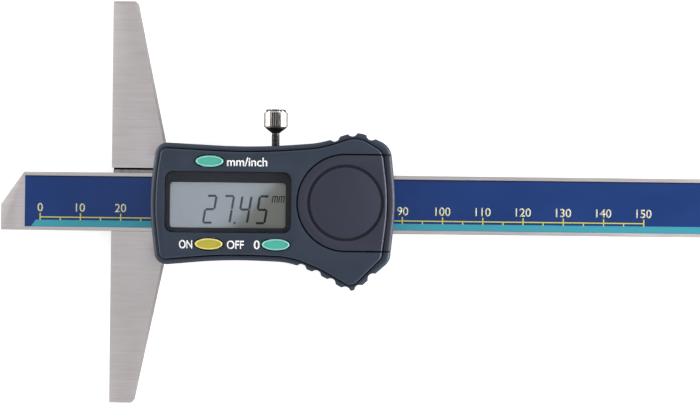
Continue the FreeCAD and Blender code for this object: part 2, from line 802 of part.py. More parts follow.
def display():
    """The liquid crystal panel, its holder and the two rubber contact strips under it."""
    low, high = "window_low + window_ledge", "window_high - window_ledge - 0.4"
    start, end = "window_start + window_ledge", "window_end - window_ledge"
    node(block("panel_glass", (start, end), (low, high), ("display_low", "display_high")), "lcd_panel")
    rows = ((low, f"{low} + zebra_width"), (f"{high} - zebra_width", high))
    strips = [
        block(f"zebra_{index}", (f"{start} + 1", f"{end} - 1"), across, ("board_high", "display_low"))
        for index, across in enumerate(rows, start=1)
    ]
    node(grouped("zebra_pair", strips), "zebra_strips")
    along = (f"{start} - holder_wall", f"{end} + holder_wall")
    across = (f"{low} - holder_wall", f"{high} + holder_wall")
    outside = block("holder_outside", along, across, ("board_high", "display_high - 0.3"))
    inside = block("holder_inside", (start, end), (low, high), ("board_high", "display_high"))
    node(without("holder_frame", outside, [inside]), "lcd_holder")


def window():
    """The clear lens in the face, and the dark mask that frames the display under it."""
    lens = prism(window_corners(size.lens_gap), 0, size.lens_low, size.lens_high)
    shaped("window_lens", lens.makeChamfer(0.12, edges_at(lens, size.lens_high)))
    view = rounded(
        size.window_start + size.mask_left,
        size.window_end - size.mask_right,
        size.window_low + size.mask_bottom,
        size.window_high - size.mask_top,
        0.8,
    )
    mask = prism(window_corners(size.lens_gap), 0, size.mask_low, size.lens_low)
    shaped("display_mask", mask.cut(prism(view, 0, 0, size.face_top)))


def battery():
    """The coin cell and the two spring contacts that hold and feed from it."""
    cell_centre = ("battery_place", "cover_centre")
    can = rod("cell_can", "battery_radius", (*cell_centre, "cell_low + 0.4"), "battery_thickness - 0.4")
    cap = rod("cell_cap", "battery_radius - 1.1", (*cell_centre, "cell_low"), "0.4")
    node(fused("cell", [can, cap]), "battery")
    across = ("cover_centre - contact_half_width", "cover_centre + contact_half_width")
    foot_height = ("board_high", "board_high + contact_thickness")
    side = "battery_place - battery_radius - 0.1"
    riser = block("plus_riser", (f"{side} - contact_thickness", side), across, ("board_high", "cell_high"))
    foot = block("plus_foot", (side, f"{side} + 3"), across, foot_height)
    node(fused("plus_contact", [riser, foot]), "battery_contact_positive")
    bend = "battery_place - 1"
    foot = block("minus_foot", ("battery_place - 5", bend), across, foot_height)
    riser = block("minus_riser", (bend, f"{bend} + contact_thickness"), across, ("board_high", "cell_low"))
    tongue_height = ("cell_low - contact_thickness", "cell_low")
    tongue = block("minus_tongue", (bend, "battery_place + 4"), across, tongue_height)
    node(fused("minus_contact", [foot, riser, tongue]), "battery_contact_negative")


def write_parts():
    """Check every object, then write one file for each finished piece."""
    doc.recompute()
    for thing in doc.Objects:
        if {"Invalid", "Error"} & set(thing.State):
            raise RuntimeError(f"{thing.Label} failed to build")
    os.makedirs("parts", exist_ok=True)
    for piece in nodes:
        shape = piece.Shape
        if shape.isNull() or not shape.isValid() or not shape.Solids:
            raise RuntimeError(f"{piece.Label} has no valid shape")
        shape.exportStep(f"parts/{piece.Label}.step")
        box = shape.BoundBox
        print(
            f"{piece.Label:26s} solids {len(shape.Solids)}  volume {shape.Volume:9.2f}  "
            f"x {box.XMin:7.2f} {box.XMax:7.2f}  y {box.YMin:7.2f} {box.YMax:7.2f}  "
            f"z {box.ZMin:6.2f} {box.ZMax:6.2f}"
        )


beam()
scale()
end_stop()
bridge()
gib()
lock()
lower_housing()
front_cover()
housing_screws()
battery_cover()
buttons()
switches()
board()
display()
window()
battery()
write_parts()
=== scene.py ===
import math

import bmesh
import bpy
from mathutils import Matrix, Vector


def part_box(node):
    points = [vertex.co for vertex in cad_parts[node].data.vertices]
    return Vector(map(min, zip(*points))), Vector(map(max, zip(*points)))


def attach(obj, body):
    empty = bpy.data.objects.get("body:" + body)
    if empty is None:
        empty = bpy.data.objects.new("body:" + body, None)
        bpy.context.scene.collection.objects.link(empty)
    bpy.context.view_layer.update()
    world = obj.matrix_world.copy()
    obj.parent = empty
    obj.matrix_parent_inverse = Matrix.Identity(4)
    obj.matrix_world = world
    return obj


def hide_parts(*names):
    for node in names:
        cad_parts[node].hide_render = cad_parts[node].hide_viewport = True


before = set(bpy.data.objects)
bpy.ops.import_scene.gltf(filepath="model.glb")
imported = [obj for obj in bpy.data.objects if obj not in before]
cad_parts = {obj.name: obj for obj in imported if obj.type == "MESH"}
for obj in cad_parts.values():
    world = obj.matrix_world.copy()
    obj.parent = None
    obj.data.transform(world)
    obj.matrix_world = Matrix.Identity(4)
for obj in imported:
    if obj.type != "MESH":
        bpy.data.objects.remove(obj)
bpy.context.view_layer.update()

# A digital depth caliper lying on its back, display up. The beam runs along X, the bridge
# along Y, and everything is in metres.

MM = 0.001
TAU = 2 * math.pi
MERGE = 0.001 * MM  # points closer than this become one
CREASE = 25  # degrees; sharper edges get rounded


# ---- small helpers ----------------------------------------------------------------------


def deselect():
    """Nothing selected and nothing in edit mode."""
    if bpy.context.object and bpy.context.object.mode != "OBJECT":
        bpy.ops.object.mode_set(mode="OBJECT")
    bpy.ops.object.select_all(action="DESELECT")


def activate(piece):
    """Make this the only selected object, and the active one."""
    deselect()
    piece.select_set(True)
    bpy.context.view_layer.objects.active = piece


def settle(piece):
    """Put the piece's place, turn and scale into its mesh."""
    activate(piece)
    bpy.ops.object.transform_apply(location=True, rotation=True, scale=True)


def modify(piece, kind, **settings):
    """Add a modifier with its settings and apply it."""
    activate(piece)
    modifier = piece.modifiers.new(kind.lower(), kind)
    for name, value in settings.items():
        setattr(modifier, name, value)
    bpy.ops.object.modifier_apply(modifier=modifier.name)


def smooth(piece, degrees=35):
    """Shade smooth, with a crease wherever two faces meet at more than this angle."""
    activate(piece)
    bpy.ops.object.shade_smooth_by_angle(angle=math.radians(degrees))


def corners(node):
    """The low and the high corner of a CAD node's box."""
    return [Vector(corner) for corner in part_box(node)]


def finish_piece(piece, name, body, slot, material, *nodes):
    """Name a piece, give it its finish unless it has its own, tie it to its body and let it
    stand for CAD nodes."""
    piece.name = name
    piece.data.name = name
    if material:
        piece.data.materials.clear()
        piece.data.materials.append(material)
    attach(piece, body)
    if nodes:
        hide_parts(*nodes)


def merged_copy(node):
    """A copy of a node's shape as one closed skin, its flat faces whole."""
    piece = bpy.data.objects.new(node + "_skin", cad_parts[node].data.copy())
    bpy.context.scene.collection.objects.link(piece)
    activate(piece)
    bpy.ops.object.mode_set(mode="EDIT")
    bpy.ops.mesh.select_all(action="SELECT")
    bpy.ops.mesh.remove_doubles(threshold=MERGE)
    bpy.ops.mesh.dissolve_limited(angle_limit=math.radians(0.3))
    bpy.ops.mesh.customdata_custom_splitnormals_clear()
    bpy.ops.object.mode_set(mode="OBJECT")
    return piece


def round_edges(piece, edge):
    """Round every edge sharper than the crease angle by a small radius."""
    modify(
        piece,
        "BEVEL",
        width=edge,
        segments=2,
        limit_method="ANGLE",
        angle_limit=math.radians(CREASE),
        use_clamp_overlap=True,
        miter_outer="MITER_ARC",
    )
    smooth(piece)


def pick(piece, wanted):
    """Go into edit mode with only the faces chosen by wanted(face) selected."""
    activate(piece)
    bpy.ops.object.mode_set(mode="EDIT")
    bpy.ops.mesh.select_mode(type="FACE")
    bpy.ops.mesh.select_all(action="DESELECT")
    skin = bmesh.from_edit_mesh(piece.data)
    for face in skin.faces:
        face.select_set(wanted(face))
    skin.select_flush_mode()
    bmesh.update_edit_mesh(piece.data)


def plate(low, high):
    """A flat plate between two corners."""
    deselect()
    centre = [(a + b) / 2 for a, b in zip(low, high)]
    size = [b - a for a, b in zip(low, high)]
    bpy.ops.mesh.primitive_cube_add(size=1.0, location=centre, scale=size)
    made = bpy.context.object
    settle(made)
    return made


def joined(pieces):
    """Several pieces as one object."""
    activate(pieces[0])
    for piece in pieces:
        piece.select_set(True)
    if len(pieces) > 1:
        bpy.ops.object.join()
    return pieces[0]


def disc(sides, radius):
    """A flat disc at the origin, left in edit mode with all of it selected."""
    deselect()
    place = {"location": (0, 0, 0), "fill_type": "NGON"}
    bpy.ops.mesh.primitive_circle_add(vertices=sides, radius=radius, **place)
    made = bpy.context.object
    bpy.ops.object.mode_set(mode="EDIT")
    bpy.ops.mesh.select_all(action="SELECT")
    return made


def next_ring(rise, across, along, centre):
    """Extrude what is selected by a rise along Z, and scale its end about a centre."""
    bpy.ops.mesh.extrude_region_move(TRANSFORM_OT_translate={"value": (0, 0, rise)})
    bpy.ops.transform.resize(value=(across, along, 1), center_override=centre)


def turn_outward():
    """Point every face of the piece in edit mode outward, and leave edit mode."""
    bpy.ops.mesh.select_all(action="SELECT")
    bpy.ops.mesh.normals_make_consistent(inside=False)
    bpy.ops.object.mode_set(mode="OBJECT")


def turned(stations, sides):
    """A closed shape turned about Z, from (radius, height) stations."""
    radius, height = stations[0]
    made = disc(sides, radius)
    bpy.ops.transform.translate(value=(0, 0, height))
    for wide, high in stations[1:]:
        next_ring(high - height, wide / radius, wide / radius, (0, 0, high))
        radius, height = wide, high
    turn_outward()
    return made


def lay_along_y(piece, x, y, z):
    """Turn a shape made about Z so that it runs along Y from this place."""
    piece.rotation_euler = (-math.pi / 2, 0, 0)
    piece.location = (x, y, z)
    settle(piece)


# ---- materials --------------------------------------------------------------------------


def linear(code):
    """The linear colour of an sRGB hex code."""
    channels = [int(code[place : place + 2], 16) / 255 for place in (1, 3, 5)]
    return tuple(c / 12.92 if c <= 0.04045 else ((c + 0.055) / 1.055) ** 2.4 for c in channels) + (1.0,)


def add(tree, kind, sockets=None, **settings):
    """Add a node; a socket takes either a value or another node's output."""
    made = tree.nodes.new(kind)
    for name, value in settings.items():
        setattr(made, name, value)
    for name, value in (sockets or {}).items():
        if isinstance(value, bpy.types.NodeSocket):
            tree.links.new(value, made.inputs[name])
        else:
            made.inputs[name].default_value = value
    return made


def blank(name, colour, roughness, metallic=0.0, **sockets):
    """A material with one Principled shader; returns material, tree, shader and coordinates."""
    material = bpy.data.materials.new(name)
    material.use_nodes = True
    tree = material.node_tree
    shader = tree.nodes["Principled BSDF"]
    settings = {"Base Color": linear(colour), "Roughness": roughness, "Metallic": metallic}
    settings.update({key.replace("_", " "): value for key, value in sockets.items()})
    for socket, value in settings.items():
        shader.inputs[socket].default_value = value
    coordinates = add(tree, "ShaderNodeTexCoord").outputs["Object"]
    return material, tree, shader, coordinates


# the part of a noise pattern's range over which colours and sheens change
PATTERN_LOW, PATTERN_HIGH = 0.3, 0.7
FAINT = 0.004  # the depth of a fine grain, in millimetres


def grain(tree, coordinates, spacing, detail=2.0, roughness=0.5):
    """Noise whose features are about this far apart on X, Y and Z, in millimetres."""
    scale = [1 / (MM * each) for each in spacing]
    mapping = add(tree, "ShaderNodeMapping", {"Vector": coordinates, "Scale": scale})
    sockets = {"Vector": mapping.outputs[0], "Scale": 1.0, "Detail": detail, "Roughness": roughness}
    return add(tree, "ShaderNodeTexNoise", sockets).outputs["Fac"]


def between(tree, factor, low, high):
    """A value that runs from low to high as the factor does over its middle range."""
    source = {"Value": factor, "From Min": PATTERN_LOW, "From Max": PATTERN_HIGH}
    return add(tree, "ShaderNodeMapRange", {**source, "To Min": low, "To Max": high}).outputs["Result"]


def tinted(tree, factor, first, second):
    """A colour between two hex colours."""
    ramp = add(tree, "ShaderNodeValToRGB", {"Fac": factor})
    ramp.color_ramp.elements[0].position = PATTERN_LOW
    ramp.color_ramp.elements[1].position = PATTERN_HIGH
    ramp.color_ramp.elements[0].color = linear(first)
    ramp.color_ramp.elements[1].color = linear(second)
    return ramp.outputs["Color"]


def rough_skin(tree, shader, height, depth):
    """Raise the surface by a pattern, by this depth in millimetres."""
    bump = add(tree, "ShaderNodeBump", {"Height": height, "Distance": depth * MM, "Strength": 1.0})
    tree.links.new(bump.outputs["Normal"], shader.inputs["Normal"])


def ground_steel():
    """Hardened steel, surface ground: pale, satin, with fine faint lines left along X."""
    material, tree, shader, place = blank("hardened_steel_surface_ground", "#E5DEDD", 0.36, 1.0)
    lines = grain(tree, place, (9.0, 0.22, 0.22), 3.0, 0.6)
    tree.links.new(tinted(tree, lines, "#DFD8D8", "#EBE4E3"), shader.inputs["Base Color"])
    tree.links.new(between(tree, lines, 0.33, 0.41), shader.inputs["Roughness"])
    rough_skin(tree, shader, lines, FAINT)
    return material


def dark_steel():
    """Carbon steel, milled and oil-blackened: dull dark grey with faint tool marks. It is also laid in
    the knurl's grooves as painted shade.
    """
    material, tree, shader, place = blank("carbon_steel_oil_blackened_and_painted_shade", "#77746F", 0.42, 1.0)
    marks = grain(tree, place, (1.2, 0.5, 0.5), 3.0)
    tree.links.new(tinted(tree, marks, "#454341", "#696662"), shader.inputs["Base Color"])
    rough_skin(tree, shader, marks, 0.01)
    return material


def nickel_steel():
    """Turned steel with bright nickel plating: sharp highlights along every ridge."""
    material, tree, shader, place = blank("turned_steel_nickel_plated", "#CFCBC8", 0.16, 1.0)
    marks = grain(tree, place, (0.9, 0.12, 0.9), 2.0)
    tree.links.new(between(tree, marks, 0.12, 0.24), shader.inputs["Roughness"])
    rough_skin(tree, shader, marks, FAINT)
    return material


def moulded_plastic(name, dark, light, roughness):
    """ABS moulded in a spark-eroded tool: an even, very fine satin grain."""
    material, tree, shader, place = blank(name, dark, roughness, Specular_IOR_Level=0.35)
    cloud = grain(tree, place, (6.0, 6.0, 6.0), 2.0)
    pits = grain(tree, place, (0.16, 0.16, 0.16), 2.0, 0.6)
    tree.links.new(tinted(tree, cloud, dark, light), shader.inputs["Base Color"])
    tree.links.new(between(tree, pits, roughness - 0.05, roughness + 0.07), shader.inputs["Roughness"])
    rough_skin(tree, shader, pits, FAINT)
    return material


def button_rubber(name, colour, edge):
    """Silicone-coated button caps: even colour with a soft sheen."""
    material, tree, shader, place = blank(name, colour, 0.34, Specular_IOR_Level=0.5)
    cloud = grain(tree, place, (1.4, 1.4, 1.4), 2.0)
    tree.links.new(tinted(tree, cloud, colour, edge), shader.inputs["Base Color"])
    rough_skin(tree, shader, grain(tree, place, (0.2, 0.2, 0.2)), 0.002)
    return material


def print_ink(name, colour):
    """Screen-printed ink: flat colour with a slightly uneven sheen."""
    material, tree, shader, place = blank(name, colour, 0.4, Specular_IOR_Level=0.3)
    sheen = between(tree, grain(tree, place, (0.3, 0.3, 0.3)), 0.36, 0.5)
    tree.links.new(sheen, shader.inputs["Roughness"])
    return material


def label_film():
    """Printed polyester film: deep blue with a satin top layer."""
    material, tree, shader, place = blank(
        "polyester_film_printed_blue", "#1F3667", 0.3, Specular_IOR_Level=0.3
    )
    cloud = grain(tree, place, (18.0, 8.0, 8.0), 3.0)
    tree.links.new(tinted(tree, cloud, "#153571", "#1B3B78"), shader.inputs["Base Color"])
    rough_skin(tree, shader, grain(tree, place, (2.0, 1.0, 1.0)), 0.002)
    return material


def polarised(name, first, second, coat):
    """Liquid crystal glass under a glossy polariser: an even colour that mirrors the lights."""
    gloss = {"Coat_Weight": coat, "Coat_Roughness": 0.05, "Coat_IOR": 1.6, "Specular_IOR_Level": 0.1}
    material, tree, shader, place = blank(name, first, 0.5, **gloss)
    fine = grain(tree, place, (0.2, 0.2, 0.2), 1.0)
    tree.links.new(tinted(tree, fine, first, second), shader.inputs["Base Color"])
    return material


def clear_lens():
    """Clear moulded polycarbonate with an antiglare coat: seen through, hardly mirroring."""
    material = bpy.data.materials.new("polycarbonate_moulded_clear")
    material.use_nodes = True
    tree = material.node_tree
    tree.nodes.remove(tree.nodes["Principled BSDF"])
    place = add(tree, "ShaderNodeTexCoord").outputs["Object"]
    haze = between(tree, grain(tree, place, (5.0, 5.0, 5.0)), 0.08, 0.14)
    gloss = add(tree, "ShaderNodeBsdfGlossy", {"Roughness": haze})
    through = add(tree, "ShaderNodeBsdfTransparent", {"Color": (0.97, 0.98, 0.98, 1.0)})
    facing = add(tree, "ShaderNodeFresnel", {"IOR": 1.16})
    sockets = {"Fac": facing.outputs[0], 1: through.outputs[0], 2: gloss.outputs[0]}
    mix = add(tree, "ShaderNodeMixShader", sockets)
    tree.links.new(mix.outputs[0], tree.nodes["Material Output"].inputs["Surface"])
    return material


def plain(name, first, second, roughness, metallic=0.0, spacing=0.8):
    """A simple finish: two close colours in a cloudy pattern and a faint grain."""
    material, tree, shader, place = blank(name, first, roughness, metallic)
    cloud = grain(tree, place, (spacing, spacing, spacing), 3.0)
    tree.links.new(tinted(tree, cloud, first, second), shader.inputs["Base Color"])
    rough_skin(tree, shader, cloud, FAINT)
    return material


steel = ground_steel()
blackened_and_groove_shade = dark_steel()
# painted shade: a dark steel laid on the bridge's channel in place of the shade in that gap
channel_painted_shade = plain("steel_dark_painted_shade", "#1C1A19", "#292726", 0.5, 1.0)
nickel = nickel_steel()
housing_plastic = moulded_plastic("abs_moulded_slate_blue", "#2C3544", "#303948", 0.42)
cover_plastic = moulded_plastic("abs_moulded_slate_grey", "#303241", "#333544", 0.42)
teal_caps = button_rubber("silicone_cap_teal", "#4AAE9D", "#50B3A3")
yellow_caps = button_rubber("silicone_cap_yellow", "#B5A930", "#BBAE38")
# painted highlight: paler copies of the cap colours, laid on the caps' rounded rims
teal_rim_highlight = button_rubber("silicone_teal_painted_highlight", "#86CDBB", "#90D4C3")
yellow_rim_highlight = button_rubber("silicone_yellow_painted_highlight", "#D9D07A", "#E0D888")
white_ink = print_ink("screen_ink_white", "#F2F2F2")
yellow_ink = print_ink("screen_ink_yellow_green", "#C9C45A")
# painted shadow: a navy line laid where the label's recess wall casts shade
shadow_line_ink = print_ink("painted_shadow_navy", "#131D38")
figure_ink = print_ink("screen_ink_warm_grey", "#C9C6A6")
teal_ink = print_ink("screen_ink_teal", "#3F9BAD")
blue_film = label_film()
crystal = polarised("liquid_crystal_glass_polarised", "#9A9990", "#A09F94", 1.0)
segment_ink = polarised("liquid_crystal_switched_dark", "#060606", "#0A0A0A", 0.3)
lens_clear = clear_lens()
spring_steel = plain("spring_steel_cold_rolled", "#8A8886", "#A9A7A4", 0.36, 1.0, spacing=1.2)
mask_film = plain("polyester_film_printed_black", "#191A24", "#1D1E28", 0.5, spacing=3.0)
white_plastic = plain("abs_moulded_white", "#D4D4D0", "#DDDDD9", 0.45)
board_green = plain("glass_fibre_solder_mask_green", "#1F5A33", "#256A3C", 0.35)
chip_black = plain("epoxy_moulded_black", "#1A1A1A", "#242424", 0.6)
solder_tin = plain("tinned_steel_stamped", "#A9A9A6", "#BDBDBA", 0.3, 1.0)
cell_steel = plain("stainless_steel_deep_drawn", "#B6B6B4", "#C8C8C6", 0.25, 1.0, spacing=2.0)
spring_bronze = plain("phosphor_bronze_stamped", "#C29A57", "#CFA866", 0.3, 1.0)
shoe_brass = plain("brass_turned", "#B6923F", "#C7A24C", 0.3, 1.0)
zebra_rubber = plain("silicone_rubber_layered", "#A9707E", "#B57E8B", 0.6)

NODE_FINISH = {
    "bridge_slider": steel,
    "beam": steel,
    "gib": spring_steel,
    "gib_set_screws": blackened_and_groove_shade,
    "end_stop": blackened_and_groove_shade,
    "end_stop_screws": blackened_and_groove_shade,
    "housing_screws": blackened_and_groove_shade,
    "scale_grid": board_green,
    "scale_label": blue_film,
    "lock_screw": nickel,
    "lock_shoe": shoe_brass,
    "lower_housing": housing_plastic,
    "front_cover": housing_plastic,
    "battery_cover": cover_plastic,
    "window_lens": lens_clear,
    "display_mask": mask_film,
    "lcd_panel": crystal,
    "lcd_holder": white_plastic,
    "zebra_strips": zebra_rubber,
    "main_board": board_green,
    "controller_chip": chip_black,
    "board_components": solder_tin,
    "push_switches": solder_tin,
    "battery": cell_steel,
    "battery_contact_positive": spring_bronze,
    "battery_contact_negative": spring_bronze,
    "button_units": teal_caps,
    "button_on_off": yellow_caps,
    "button_zero": teal_caps,
}
for node, finish in NODE_FINISH.items():
    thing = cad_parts[node]
    thing.data.materials.clear()
    thing.data.materials.append(finish)


# ---- skins over the CAD shapes ----------------------------------------------------------

SKINS = {
    "bridge_slider": ("slider", "ground_steel", 0.12 * MM),
    "beam": ("beam", "ground_steel", 0.1 * MM),
    "lower_housing": ("slider", "dark_plastic", 0.14 * MM),
    "front_cover": ("slider", "dark_plastic", 0.18 * MM),
    "battery_cover": ("battery_cover", "cover_plastic", 0.18 * MM),
    "end_stop": ("beam", "dark_steel", 0.15 * MM),
}
# the shallow dish of the battery cover's disc: each ring's share of the disc, and how far down
DISH = [(0.96, 0.0), (0.85, 0.06), (0.66, 0.13), (0.44, 0.18), (0.22, 0.2)]
DISC_LIMIT = 0.95  # the disc lies within this share of the cell's radius
LEVEL = 0.01 * MM  # faces this close to a height are at that height


def dished(piece):
    """Sink the battery cover's disc into a shallow dish for the thumb."""
    top = corners("battery_cover")[1].z
    cell_low, cell_high = corners("battery")
    centre = (cell_low + cell_high) / 2

    def on_disc(face):
        level = face.normal.z > 0.9 and face.calc_center_median().z > top - LEVEL
        reach = max((corner.co.xy - centre.xy).length for corner in face.verts)
        return level and reach < DISC_LIMIT * (cell_high.x - centre.x)

    pick(piece, on_disc)
    share, depth = 1.0, 0.0
    for smaller, deeper in DISH:
        ratio = smaller / share
        next_ring((depth - deeper) * MM, ratio, ratio, (centre.x, centre.y, top))
        share, depth = smaller, deeper
    bpy.ops.object.mode_set(mode="OBJECT")


def darken_channel(piece):
    """Paint shade into the bridge's channel. Its faces get a dark steel, unlike the ground faces, in
    place of the shade in the gap round the beam. The choice goes by a face's centre, so the two end
    faces that the channel opens in, the long measuring face and the far one, turn dark with it."""
    beam_low, beam_high = corners("beam")
    side_low, side_high = beam_low.y - 0.4 * MM, corners("gib")[1].y + 0.8 * MM
    back, front = beam_low.z - 0.5 * MM, beam_high.z - 0.05 * MM
    piece.data.materials.append(channel_painted_shade)
    for face in piece.data.polygons:
        if side_low < face.center.y < side_high and back < face.center.z < front:
            face.material_index = 1


for node, (body, slot, edge) in SKINS.items():
    skin = merged_copy(node)
    if node == "battery_cover":
        dished(skin)
    round_edges(skin, edge)
    finish_piece(skin, node + "_skin", body, slot, NODE_FINISH[node], node)
    # the bridge's channel gets painted shade
    if node == "bridge_slider":
        darken_channel(skin)


# ---- buttons ----------------------------------------------------------------------------

CAP_LENGTH = 6.7 * MM
CAP_WIDTH = 2.7 * MM
# how far inside the cap's outline the painted highlight on the rim begins
HIGHLIGHT_INSIDE = 0.3 * MM
CAP_SIDES = 72
CAPS = {
    "button_units": "teal_button",
    "button_on_off": "yellow_button",
    "button_zero": "teal_button",
}
CAP_RIM_HIGHLIGHTS = {"teal_button": teal_rim_highlight, "yellow_button": yellow_rim_highlight}
# how far each ring stands inside the cap's outline, and how far below its top; the first is
# the modelled cap's foot, and what is lower comes from the CAD shape with its ears
CAP_RINGS = [
    (0.0, 2.2),
    (0.0, 0.22),
    (0.06, 0.08),
    (0.16, 0.01),
    (0.24, 0.01),
    (0.34, 0.08),
    (0.5, 0.13),
    (0.8, 0.13),
    (1.2, 0.12),
]


def oval_cap(half_length, half_width, top):
    """An oval cap with a rounded rim round a shallow dish, made about the Z axis."""
    made = disc(CAP_SIDES, 1.0)
    sides = (half_length, half_width)
    height = top - CAP_RINGS[0][1] * MM
    bpy.ops.transform.resize(value=(*sides, 1))
    bpy.ops.transform.translate(value=(0, 0, height))
    for inside, below in CAP_RINGS[1:]:
        level = top - below * MM
        smaller = (half_length - inside * MM, half_width - inside * MM)
        next_ring(level - height, smaller[0] / sides[0], smaller[1] / sides[1], (0, 0, level))
        sides, height = smaller, level
    turn_outward()
    return made


for node, slot in CAPS.items():
    low, high = corners(node)
    stem = merged_copy(node)
    activate(stem)
    bpy.ops.object.mode_set(mode="EDIT")
    bpy.ops.mesh.select_all(action="SELECT")
    foot = high.z - CAP_RINGS[0][1] * MM
    bpy.ops.mesh.bisect(plane_co=(0, 0, foot), plane_no=(0, 0, 1), clear_outer=True, use_fill=True)
    bpy.ops.object.mode_set(mode="OBJECT")
    cap = oval_cap(CAP_LENGTH / 2, CAP_WIDTH / 2, high.z)
    cap.data.materials.append(NODE_FINISH[node])
    cap.data.materials.append(CAP_RIM_HIGHLIGHTS[slot])
    # faces out on the rounded rim get the paler colour, a painted highlight
    for face in cap.data.polygons:
        across = face.center.x / (CAP_LENGTH / 2 - HIGHLIGHT_INSIDE)
        along = face.center.y / (CAP_WIDTH / 2 - HIGHLIGHT_INSIDE)
        face.material_index = int(math.hypot(across, along) > 1)
    cap.location = ((low.x + high.x) / 2, (low.y + high.y) / 2, 0)
    settle(cap)
    cap = joined([stem, cap])
    smooth(cap, 40)
    finish_piece(cap, node + "_cap", node, slot, None, node)


# ---- lock screw -------------------------------------------------------------------------

screw_low, screw_high = corners("lock_screw")
screw_x = (screw_low.x + screw_high.x) / 2
screw_z = (screw_low.z + screw_high.z) / 2
screw_length = screw_high.y - screw_low.y
HEAD_RADIUS = (screw_high.x - screw_low.x) / 2
HEAD_LENGTH = 4.1 * MM  # the knurled part
HEAD_BEVEL = 0.35 * MM
CROWN_LENGTH = 0.45 * MM  # the notched ring beyond it
CROWN_OUTER = HEAD_RADIUS - 0.4 * MM
CROWN_INNER = HEAD_RADIUS - 1.3 * MM
CONE_LENGTH = 1.35 * MM
SHANK_RADIUS = 1.0 * MM
SHANK_SIDES = 40
THREAD_PITCH = 0.4 * MM
THREAD_DEPTH = 0.1 * MM
THREAD_ROOT = SHANK_RADIUS - THREAD_DEPTH
KNURLS = 32
KNURL_DEPTH = 0.24 * MM
KNURL_CORNERS = (0.06, 0.3, 0.46, 0.9)  # a tooth's crest and root, in parts of the pitch
CROWN_LOBES = 6
CROWN_SIDES = 180
CROWN_GAP = 7.5  # degrees each side of a notch

crown_start = screw_length - CROWN_LENGTH
head_start = crown_start - HEAD_LENGTH
cone_start = head_start - CONE_LENGTH
notch_floor = crown_start + 0.02 * MM

turns = int(cone_start / THREAD_PITCH)
thread = [(THREAD_ROOT, 0.0)]
for turn in range(turns):
    thread += [
        (SHANK_RADIUS, (turn + 0.3) * THREAD_PITCH),
        (SHANK_RADIUS, (turn + 0.7) * THREAD_PITCH),
        (THREAD_ROOT, (turn + 1.0) * THREAD_PITCH),
    ]
thread += [
    (THREAD_ROOT, cone_start),
    (HEAD_RADIUS - HEAD_BEVEL, head_start - 0.05 * MM),
    (HEAD_RADIUS - HEAD_BEVEL, head_start + 0.1 * MM),
]
shank = turned(thread, SHANK_SIDES)

crown = turned(
    [
        (CROWN_OUTER, crown_start - 0.1 * MM),
        (CROWN_OUTER, screw_length - 0.15 * MM),
        (CROWN_OUTER - 0.2 * MM, screw_length),
        (CROWN_INNER, screw_length),
        (CROWN_INNER, notch_floor),
    ],
    CROWN_SIDES,
)
for vertex in crown.data.vertices:
    turn = math.degrees(math.atan2(vertex.co.y, vertex.co.x)) % (360 / CROWN_LOBES)
    if min(turn, 360 / CROWN_LOBES - turn) < CROWN_GAP and vertex.co.z > notch_floor - LEVEL:
        vertex.co.z = notch_floor
for part in (shank, crown):
    lay_along_y(part, screw_x, screw_low.y, screw_z)
shank = joined([shank, crown])
smooth(shank, 30)
finish_piece(shank, "lock_screw_shank", "lock_screw", "dark_steel", blackened_and_groove_shade, "lock_screw")

head = turned(
    [
        (HEAD_RADIUS - 0.45 * MM, head_start),
        (HEAD_RADIUS, head_start + 0.3 * MM),
        (HEAD_RADIUS, crown_start - HEAD_BEVEL),
        (HEAD_RADIUS - HEAD_BEVEL, crown_start),
    ],
    KNURLS * 4,
)
head.data.materials.append(nickel)
# the dark steel here is painted shade in the knurl's grooves
head.data.materials.append(blackened_and_groove_shade)
for vertex in head.data.vertices:
    tooth, corner = divmod(round(math.atan2(vertex.co.y, vertex.co.x) / TAU * KNURLS * 4), 4)
    turn = (tooth + KNURL_CORNERS[corner]) / KNURLS * TAU
    reach = math.hypot(vertex.co.x, vertex.co.y)
    if corner >= 2:
        reach = min(reach, HEAD_RADIUS - KNURL_DEPTH)
    vertex.co.x, vertex.co.y = reach * math.cos(turn), reach * math.sin(turn)
# groove faces below this reach get the painted shade
groove_reach = HEAD_RADIUS - 0.9 * KNURL_DEPTH
for face in head.data.polygons:
    shaded_groove = abs(face.normal.z) < 0.2 and math.hypot(*face.center.xy) < groove_reach
    face.material_index = int(shaded_groove)
lay_along_y(head, screw_x, screw_low.y, screw_z)
smooth(head, 25)
finish_piece(head, "lock_screw_knurl", "lock_screw", "nickel_steel", None, "lock_screw")


# ---- screw heads ------------------------------------------------------------------------

RECESS_WIDTH = 0.4 * MM
RECESS_DEPTH = 0.5 * MM
HEAD_EDGE = 0.04 * MM
# each node's body, head width and recess length
SCREW_HEADS = {
    "housing_screws": ("slider", 2.5 * MM, 1.6 * MM),
    "end_stop_screws": ("beam", 3.0 * MM, 1.9 * MM),
}


def cross_recess(x, y, low, length):
    """A cutter for one cross-shaped recess in a head that faces down."""
    half, wide = length / 2, RECESS_WIDTH / 2
    first = plate((x - half, y - wide, low - RECESS_DEPTH), (x + half, y + wide, low + RECESS_DEPTH))
    second = plate((x - wide, y - half, low - RECESS_DEPTH), (x + wide, y + half, low + RECESS_DEPTH))
    return first, second


for node, (body, width, length) in SCREW_HEADS.items():
    low, high = corners(node)
    screws = merged_copy(node)
    rows = [(low.y + high.y) / 2]
    if high.y - low.y > 1.5 * width:
        rows = [low.y + width / 2, high.y - width / 2]
    for x in (low.x + width / 2, high.x - width / 2):
        for y in rows:
            for cutter in cross_recess(x, y, low.z, length):
                modify(screws, "BOOLEAN", object=cutter, operation="DIFFERENCE", solver="EXACT")
                bpy.data.objects.remove(cutter)
    round_edges(screws, HEAD_EDGE)
    finish_piece(screws, node + "_heads", body, "dark_steel", blackened_and_groove_shade, node)


# ---- the scale's print ------------------------------------------------------------------

